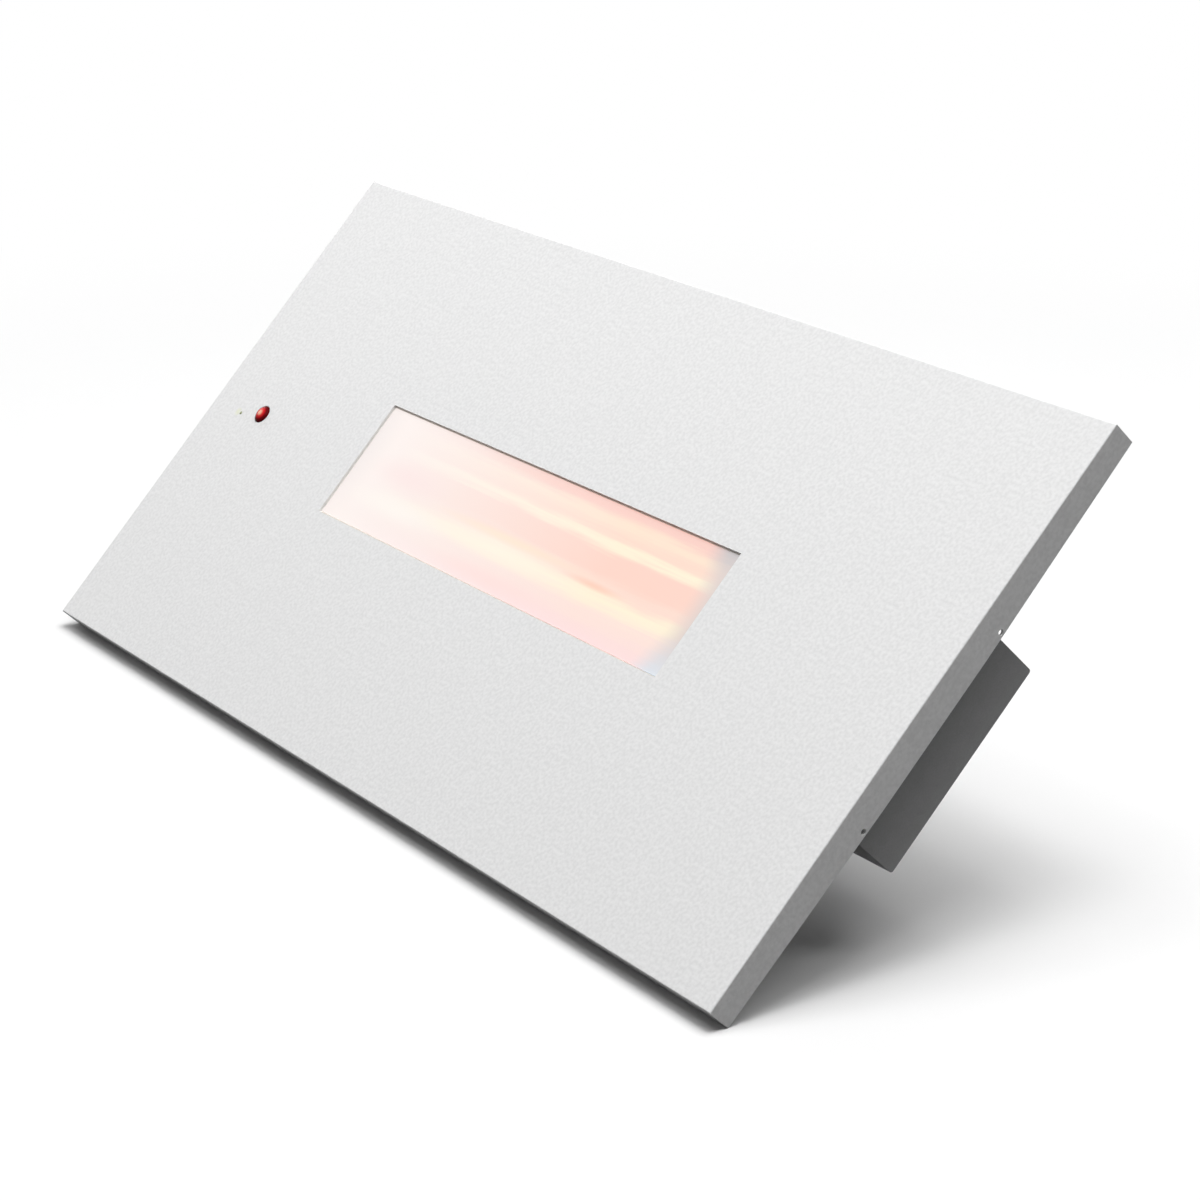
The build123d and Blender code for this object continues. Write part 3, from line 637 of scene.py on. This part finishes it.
# %% Light pipe plastic
tree, shader, place = start_finish(
    "light_pipe_plastic", IOR=1.49, Emission_Color=linear("#8F9A5A"), Emission_Strength=0.3
)
grain(tree, shader, place, 1.0 * mm, "#8C8F7A", "#7C806A", (0.2, 0.3))
print("finishes so far:", len(finishes))

# %% [markdown]
# Wire insulation: soft silicone, in the colours that wiring rules give to live, neutral and earth, and
# white for the leads of the lamps. The earth wire has two colours side by side, drawn here as narrow
# diagonal stripes from a wave texture.

# %% Wire insulation
wave_size = 12 * mm

for name, light, dark in (
    ("brown_insulation", "#6E4630", "#5E3A28"),
    ("blue_insulation", "#2F62A8", "#27548F"),
    ("white_insulation", "#EFEEEA", "#E2E0DA"),
    ("green_yellow_insulation", "#4C9A3F", "#418A36"),
):
    tree, shader, place = start_finish(name, IOR=1.45)
    grain(tree, shader, place, 1.0 * mm, light, dark, (0.42, 0.52))

stripes = add_node(
    tree,
    "TexWave",
    {"Vector": place, "Scale": 1 / wave_size, "Distortion": 0.0},
    bands_direction="DIAGONAL",
)
edges = add_node(
    tree,
    "ValToRGB",
    {"Fac": stripes.outputs["Fac"]},
    [(0.5, linear("#3F9136")), (0.52, linear("#E8D02A"))],
)
tree.links.new(edges.outputs["Color"], shader.inputs["Base Color"])
print("finishes:", len(finishes))

# %% [markdown]
# The record says which finish each piece of the frame has, so dressing them is one loop. Their meshes
# stay as they are: only the material slot changes.

# %% Dress the frame
slot_of = {row["node"]: row["material_slot"] for row in frame["record"]["subparts"]}
for name, piece in frame["nodes"].items():
    piece.data.materials.clear()
    piece.data.materials.append(finishes[slot_of[name]])
print("dressed:", len(slot_of))

# %% [markdown]
# Small round pieces are remade, because the frame holds them as coarse facets. Each starts as an outline
# of its half section, drawn in millimetres as a radius and a depth, and is spun about the axis that runs
# front to back. Bevelling single points of the outline rounds them before the spin, which is how a turner
# breaks an edge.

# %% Helpers for turned pieces
def outline(bm, points):
    """A chain of edges through points given as radius and depth in millimetres; returns its vertices."""
    verts = [bm.verts.new((radius, depth, 0)) for radius, depth in points]
    for pair in zip(verts, verts[1:]):
        bm.edges.new(pair)
    return verts


def round_corners(bm, verts, radius, segments=4):
    """Rounds the chosen points of an outline."""
    bmesh.ops.bevel(
        bm, geom=verts, offset=radius, segments=segments, profile=0.5, affect="VERTICES", material=-1
    )


def turn(bm, steps):
    """Spins what the bmesh holds a full turn about the front-to-back axis, and closes it."""
    bmesh.ops.spin(
        bm,
        geom=bm.verts[:] + bm.edges[:],
        cent=(0, 0, 0),
        axis=(0, 1, 0),
        angle=2 * math.pi,
        steps=steps,
        use_merge=True,
    )
    bmesh.ops.remove_doubles(bm, verts=bm.verts, dist=0.001)
    bmesh.ops.recalc_face_normals(bm, faces=bm.faces)


def cut_off(bm, point, outward):
    """Cuts away what lies outside a plane, and closes the cut."""
    cut = bmesh.ops.bisect_plane(
        bm,
        geom=bm.verts[:] + bm.edges[:] + bm.faces[:],
        plane_co=point,
        plane_no=outward,
        clear_outer=True,
    )
    rim = [g for g in cut["geom_cut"] if isinstance(g, bmesh.types.BMEdge)]
    bmesh.ops.edgenet_fill(bm, edges=rim)


# %% [markdown]
# A piece is modelled on the axis in millimetres. At the end it is scaled to metres and moved to its place
# inside its mesh, so that its object stays at the origin, and a piece that occurs several times is
# duplicated there. The last helper makes the object. It gives it its finish, lets it ride on the body
# that it moves with, and hides the node of the frame that it stands for, so that the coarse one steps aside.
# Faces that meet at less than 32 degrees are shaded as one smooth surface.

# %% Helpers that place and finish a piece
sharp_from = math.radians(32)


def middle_of(node):
    """Middle of a node as x and z, in metres."""
    low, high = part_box(node)
    return ((low.x + high.x) / 2, (low.z + high.z) / 2)


def copies(bm, places):
    """One copy of the finished piece at each place, given as x and z in metres; depths become metres too."""
    bmesh.ops.scale(bm, vec=(mm, mm, mm), verts=bm.verts)
    master = bm.verts[:] + bm.edges[:] + bm.faces[:]
    first_x, first_z = places[0]
    for x, z in places[1:]:
        twin = bmesh.ops.duplicate(bm, geom=master)["geom"]
        moved = [g for g in twin if isinstance(g, bmesh.types.BMVert)]
        bmesh.ops.translate(bm, verts=moved, vec=(x - first_x, 0, z - first_z))
    bmesh.ops.translate(bm, verts=bm.verts, vec=(first_x, front_y, first_z))


def new_piece(name, bm, finish, body, *nodes):
    """Makes the object, gives it its finish, and lets it ride in the place of the nodes it stands for."""
    mesh = bpy.data.meshes.new(name)
    bm.to_mesh(mesh)
    bm.free()
    mesh.polygons.foreach_set("use_smooth", [True] * len(mesh.polygons))
    mesh.set_sharp_from_angle(angle=sharp_from)
    mesh.materials.append(finishes[finish])
    piece = bpy.data.objects.new(name, mesh)
    bpy.context.scene.collection.objects.link(piece)
    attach(piece, body)
    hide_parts(*nodes)
    print(name, "has", len(mesh.polygons), "faces")


# %% [markdown]
# The button is one moulding: a shallow dome on a short straight side, a collar that keeps it behind the
# guide, and a stem that meets the switch, with a blind hole for its plunger. The dome's outline is an
# arc, which a spin of its tip about the centre of the dome's sphere draws. The radius of that sphere
# follows from the width and the rise of the dome. Where the arc meets the side, the shoulder is rounded.

# %% Red button
button_tip = -2.0
button_shoulder = -0.35
collar_radius = 6.8
collar_front = 5.05
collar_back = 6.3
stem_radius = 3.0
stem_back = 8.0
plunger_hole = 1.52
plunger_floor = 6.5

dome_rise = button_shoulder - button_tip
dome_sphere = (button_radius**2 + dome_rise**2) / (2 * dome_rise)
dome_angle = math.asin(button_radius / dome_sphere)

bm = bmesh.new()
body = outline(
    bm,
    [
        (button_radius, button_shoulder),
        (button_radius, collar_front),
        (collar_radius, collar_front),
        (collar_radius, collar_back),
        (stem_radius, collar_back),
        (stem_radius, stem_back),
        (plunger_hole, stem_back),
        (plunger_hole, plunger_floor),
        (0.0, plunger_floor),
    ],
)
round_corners(bm, [body[2], body[3], body[5]], radius=0.25, segments=2)
tip = bm.verts.new((0, button_tip, 0))
bmesh.ops.spin(
    bm,
    geom=[tip],
    cent=(0, button_tip + dome_sphere, 0),
    axis=(0, 0, 1),
    angle=dome_angle,
    steps=14,
)
bmesh.ops.remove_doubles(bm, verts=bm.verts, dist=0.01)
bm.verts.ensure_lookup_table()
on_the_side = 0.02
shoulder = [v for v in bm.verts if abs(v.co.x - button_radius) < on_the_side and v.co.y < 0]
round_corners(bm, shoulder, radius=0.5)
turn(bm, steps=72)
copies(bm, [middle_of("button_cap")])
new_piece("push_button", bm, "red_moulding", "button", "button_cap")
print("dome rises", round(dome_rise, 2), "mm on a sphere of radius", round(dome_sphere, 2), "mm")

# %% [markdown]
# The light pipe is the same kind of piece, only smaller: a domed tip a fraction of a millimetre proud of
# the plate, and a collar that stops it behind the plate.

# %% Light pipe
pipe_tip = -0.4
dome_edge_radius = 0.62
dome_edge = -0.3
pipe_radius = 1.0
stop_front = 1.5
stop_radius = 2.2
stop_back = 2.5
pipe_back = 13.4

bm = bmesh.new()
pipe = outline(
    bm,
    [
        (0.0, pipe_tip),
        (dome_edge_radius, dome_edge),
        (pipe_radius, 0.0),
        (pipe_radius, stop_front),
        (stop_radius, stop_front),
        (stop_radius, stop_back),
        (pipe_radius, stop_back),
        (pipe_radius, pipe_back),
        (0.0, pipe_back),
    ],
)
round_corners(bm, pipe[1:3], radius=0.2, segments=3)
turn(bm, steps=32)
copies(bm, [middle_of("light_pipe")])
new_piece("light_pipe_tip", bm, "light_pipe_plastic", "heater", "light_pipe")

# %% [markdown]
# The housing hangs on six welded studs. A stud's thread is a real helix: a single tooth is spun about the
# axis while it advances by one pitch in each turn, so that every turn's foot meets the next one's. It
# starts too early and ends too late, and two cuts trim it square.

# %% Threaded studs
stud_radius = 2.0
stud_front = 1.5
stud_back = 11.0
thread_root = 1.62
thread_pitch = 0.7
crest_start = 0.4 * thread_pitch
crest_end = 0.6 * thread_pitch
thread_steps = 20

low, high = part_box("housing_studs")
stud_xs = (low.x + stud_radius * mm, 0.0, high.x - stud_radius * mm)
stud_zs = (low.z + stud_radius * mm, high.z - stud_radius * mm)
stud_places = [(x, z) for x in stud_xs for z in stud_zs]

turns = math.ceil((stud_back - stud_front) / thread_pitch) + 2
start = stud_front - thread_pitch
bm = bmesh.new()
outline(
    bm,
    [
        (thread_root, start),
        (stud_radius, start + crest_start),
        (stud_radius, start + crest_end),
        (thread_root, start + thread_pitch),
    ],
)
bmesh.ops.spin(
    bm,
    geom=bm.verts[:] + bm.edges[:],
    cent=(0, 0, 0),
    axis=(0, 1, 0),
    dvec=(0, thread_pitch / thread_steps, 0),
    angle=2 * math.pi * turns,
    steps=thread_steps * turns,
)
bmesh.ops.remove_doubles(bm, verts=bm.verts, dist=0.001)
cut_off(bm, (0, stud_front, 0), (0, -1, 0))
cut_off(bm, (0, stud_back, 0), (0, 1, 0))
bmesh.ops.recalc_face_normals(bm, faces=bm.faces)
copies(bm, stud_places)
new_piece("threaded_studs", bm, "plated_steel", "heater", "housing_studs")

# %% [markdown]
# A hexagon nut is turned first and cut after: a washer with a cone on its outer edge is sliced by six
# planes. The slices leave the curved chamfer lines that make a nut look like a nut.

# %% Hexagon nuts
nut_across = 7.0
nut_front = 2.5
nut_back = 5.7
nut_bore = 2.05
cone_depth = 0.45
cone_width = 0.94
bore_chamfer = 0.25
nut_corner = nut_across / math.sqrt(3)

bm = bmesh.new()
outline(
    bm,
    [
        (nut_bore, nut_front),
        (nut_corner, nut_front),
        (nut_corner, nut_back - cone_depth),
        (nut_corner - cone_width, nut_back),
        (nut_bore + bore_chamfer, nut_back),
        (nut_bore, nut_back - bore_chamfer),
        (nut_bore, nut_front),
    ],
)
turn(bm, steps=48)
for i in range(6):
    angle = i * math.pi / 3
    outward = Vector((math.cos(angle), 0, math.sin(angle)))
    cut_off(bm, outward * nut_across / 2, outward)
bmesh.ops.recalc_face_normals(bm, faces=bm.faces)
copies(bm, stud_places)
new_piece("hexagon_nuts", bm, "plated_steel", "heater", "housing_nuts")

# %% [markdown]
# The grommet lines the hole for the mains cord in the back wall. It is soft rubber, with a rounded lip
# inside the wall and a neck that fills the hole.

# %% Cable grommet
grommet_bore = 4.0
lip_radius = 8.5
lip_front = 55.0
neck_radius = 6.45
wall_front = 57.0
wall_back = 58.0

bm = bmesh.new()
ring = outline(
    bm,
    [
        (grommet_bore, lip_front),
        (lip_radius, lip_front),
        (lip_radius, wall_front),
        (neck_radius, wall_front),
        (neck_radius, wall_back),
        (grommet_bore, wall_back),
        (grommet_bore, lip_front),
    ],
)
round_corners(bm, [ring[1], ring[2], ring[4], ring[5]], radius=0.45)
turn(bm, steps=48)
copies(bm, [middle_of("cable_grommet")])
new_piece("rubber_grommet", bm, "black_rubber", "heater", "cable_grommet")

# %% [markdown]
# The heater leans back on the lower rear rim of its tray, as it does when it is set down for a picture.
# In the frame it stands upright, so the ground is what leans: a plane through that rim, whose upward
# direction points half forwards.

# %% Leaning floor
up = Vector((0, -0.6945, 0.7195))
rim_depth = 13.7 * mm
rest_line = Vector((0, front_y + rim_depth, plate_low.z))
floor_half = 8.0

bm = bmesh.new()
bmesh.ops.create_grid(bm, x_segments=8, y_segments=8, size=floor_half)
turn_up = Vector((0, 0, 1)).rotation_difference(up).to_matrix()
bmesh.ops.rotate(bm, cent=(0, 0, 0), matrix=turn_up, verts=bm.verts)
bmesh.ops.translate(bm, vec=rest_line, verts=bm.verts)
floor_mesh = bpy.data.meshes.new("pale_floor")
bm.to_mesh(floor_mesh)
bm.free()
floor = bpy.data.objects.new("pale_floor", floor_mesh)
bpy.context.scene.collection.objects.link(floor)
print("floor leans by", round(math.degrees(math.acos(up.z)), 1), "degrees")

# %% [markdown]
# The Light Path node tells what kind of ray has hit a surface, so a surface can look different to each
# kind. The floor and the backdrop both use it: they are pale to a ray that makes the picture, straight
# from the camera, off a mirror or through glass, and dark to a ray that only carries light round the
# studio.

# %% Which rays make the picture
def seen_directly(tree):
    """1 for a ray from the camera, off a mirror or through glass, and 0 for any other."""
    rays = add_node(tree, "LightPath").outputs
    seen = add_node(tree, "Math", {0: rays["Is Camera Ray"], 1: rays["Is Glossy Ray"]}, operation="MAXIMUM")
    seen = add_node(
        tree, "Math", {0: seen.outputs[0], 1: rays["Is Transmission Ray"]}, operation="MAXIMUM"
    )
    return seen.outputs[0]


# %% [markdown]
# The floor's paint is a very pale grey where it is seen, which the softboxes bring up to white, and it
# keeps the shadow of the heater. To other rays it is a dark grey, so that it throws only a little light
# up at the heater. From 0.6 to 1.2 metres from the middle of the heater, where no shadow reaches, it
# turns into the plain white of the backdrop. From below it is clear, and so it is to light on its way to
# the heater, so that the back of the heater can be lit and looked at too.

# %% Paint of the floor
shadow_reach = 0.6
all_white = 1.2

floor_paint = bpy.data.materials.new("pale_floor_paint")
floor_paint.use_nodes = True
tree = floor_paint.node_tree
tree.nodes.clear()
seen = seen_directly(tree)
greys = add_node(
    tree,
    "Mix",
    {"Factor": seen, first_colour: linear("#6A6A6A"), second_colour: linear("#EDEDED")},
    data_type="RGBA",
)
matt = add_node(tree, "BsdfDiffuse", {"Color": greys.outputs[mixed_colour]})
place = add_node(tree, "TexCoord").outputs["Object"]
distance = add_node(tree, "VectorMath", {0: place, 1: object_centre}, operation="DISTANCE")
far = add_node(
    tree,
    "MapRange",
    {"Value": distance.outputs["Value"], "From Min": shadow_reach, "From Max": all_white},
    interpolation_type="SMOOTHSTEP",
)
far_seen = add_node(tree, "Math", {0: far.outputs["Result"], 1: seen}, operation="MULTIPLY")
white = add_node(tree, "Emission", {"Strength": 1.0})
paint = add_node(tree, "MixShader", {"Fac": far_seen.outputs[0], 1: matt.outputs[0], 2: white.outputs[0]})
below = add_node(tree, "NewGeometry").outputs["Backfacing"]
shadow_ray = add_node(tree, "LightPath").outputs["Is Shadow Ray"]
see_through = add_node(tree, "Math", {0: below, 1: shadow_ray}, operation="MAXIMUM")
clear = add_node(tree, "BsdfTransparent")
surface = add_node(
    tree, "MixShader", {"Fac": see_through.outputs[0], 1: paint.outputs[0], 2: clear.outputs[0]}
)
add_node(tree, "OutputMaterial", {"Surface": surface.outputs[0]})
floor_mesh.materials.append(floor_paint)
print("floor is plain white from", all_white, "m out")

# %% [markdown]
# The backdrop is the world: plain white where it is seen, at a strength of exactly one, and a tenth of
# that as light, which keeps the unlit sides of the heater from going black.

# %% Backdrop
fill_level = 0.1

world = bpy.data.worlds.new("white_backdrop")
bpy.context.scene.world = world
world.use_nodes = True
tree = world.node_tree
tree.nodes.clear()
strength = add_node(tree, "MapRange", {"Value": seen_directly(tree), "To Min": fill_level, "To Max": 1.0})
backdrop = add_node(
    tree, "Background", {"Color": (1, 1, 1, 1), "Strength": strength.outputs["Result"]}
)
add_node(tree, "OutputWorld", {"Surface": backdrop.outputs[0]})
print("fill light:", fill_level)

# %% [markdown]
# Seven softboxes hang 3.2 metres from the heater. A softbox is a large area lamp: the larger it is, the
# softer the edge of the shadow. Each is placed by its direction over the leaning floor, an azimuth and an
# elevation. Five hang high: one in front, one on the right, one at the back right and two at the back. A
# wide one hangs low on the left. The seventh is under the floor, which lets its light pass, and lights
# the back of the heater.
#
# Light adds up, so a fit gave a first set of powers: the scene was rendered with one lamp at a time, and
# the pictures were added with the weights that came nearest to the tones of the photo. Sizes, directions
# and powers were then trimmed against whole renders.

# %% Softboxes
to_right = Vector((1, 0, 0))
to_back = up.cross(to_right)
lamp_distance = 3.2


def softbox(name, azimuth, elevation, size, watts):
    """A square area lamp aimed at the heater; azimuth 0 is in front of it and 90 on its right."""
    turn_by = math.radians(azimuth)
    rise_by = math.radians(elevation)
    level = math.sin(turn_by) * to_right - math.cos(turn_by) * to_back
    aim = math.cos(rise_by) * level + math.sin(rise_by) * up
    lamp = bpy.data.lights.new(name, "AREA")
    lamp.size = size
    lamp.energy = watts
    box = bpy.data.objects.new(name, lamp)
    box.location = object_centre + aim * lamp_distance
    box.rotation_euler = aim.to_track_quat("Z", "Y").to_euler()
    bpy.context.scene.collection.objects.link(box)
    print(name, "gives", watts, "W")


softbox("front_softbox", 0, 74, 1.87, 35.6)
softbox("right_softbox", 90, 78, 1.07, 40.5)
softbox("back_softbox", 180, 75, 1.07, 18.1)
softbox("low_back_softbox", 180, 60, 1.07, 14.2)
softbox("back_right_softbox", 120, 60, 1.07, 19.0)
softbox("left_softbox", -90, 20, 1.87, 27.6)
softbox("behind_softbox", -150, -20, 2.13, 15.0)

# %% [markdown]
# The camera stands level over the leaning floor and looks down at it. In the frame, where the heater is
# upright, that puts it on the right, a little below the lower edge of the heater, and turns it on its own
# axis. A long lens from a metre and a half away keeps the edges nearly parallel. The small shift frames
# the object as in the photo without turning the camera. The view transform is Standard, so that a fully
# lit finish shows the colour that the code names.

# %% Camera
camera_place = Vector((1.2069, -0.9589, -0.2155))
camera_forward = Vector((-0.76585, 0.63604, 0.09452))
camera_up = Vector((-0.30799, -0.49187, 0.81438))

lens = bpy.data.cameras.new("picture_camera")
lens.lens = 93.34
lens.sensor_width = 36.0
lens.shift_x = 0.0333
lens.shift_y = 0.12
camera = bpy.data.objects.new("picture_camera", lens)
camera_right = camera_forward.cross(camera_up)
turned = Matrix((camera_right, camera_up, -camera_forward)).transposed()
camera.matrix_world = Matrix.Translation(camera_place) @ turned.to_4x4()
bpy.context.scene.collection.objects.link(camera)
bpy.context.scene.camera = camera
bpy.context.scene.view_settings.view_transform = "Standard"
looks_down = math.degrees(math.asin(-camera_forward.dot(up)))
print("camera looks down by", round(looks_down, 1), "degrees")
print("camera is", round((camera_place - object_centre).length, 2), "m from the middle of the heater")
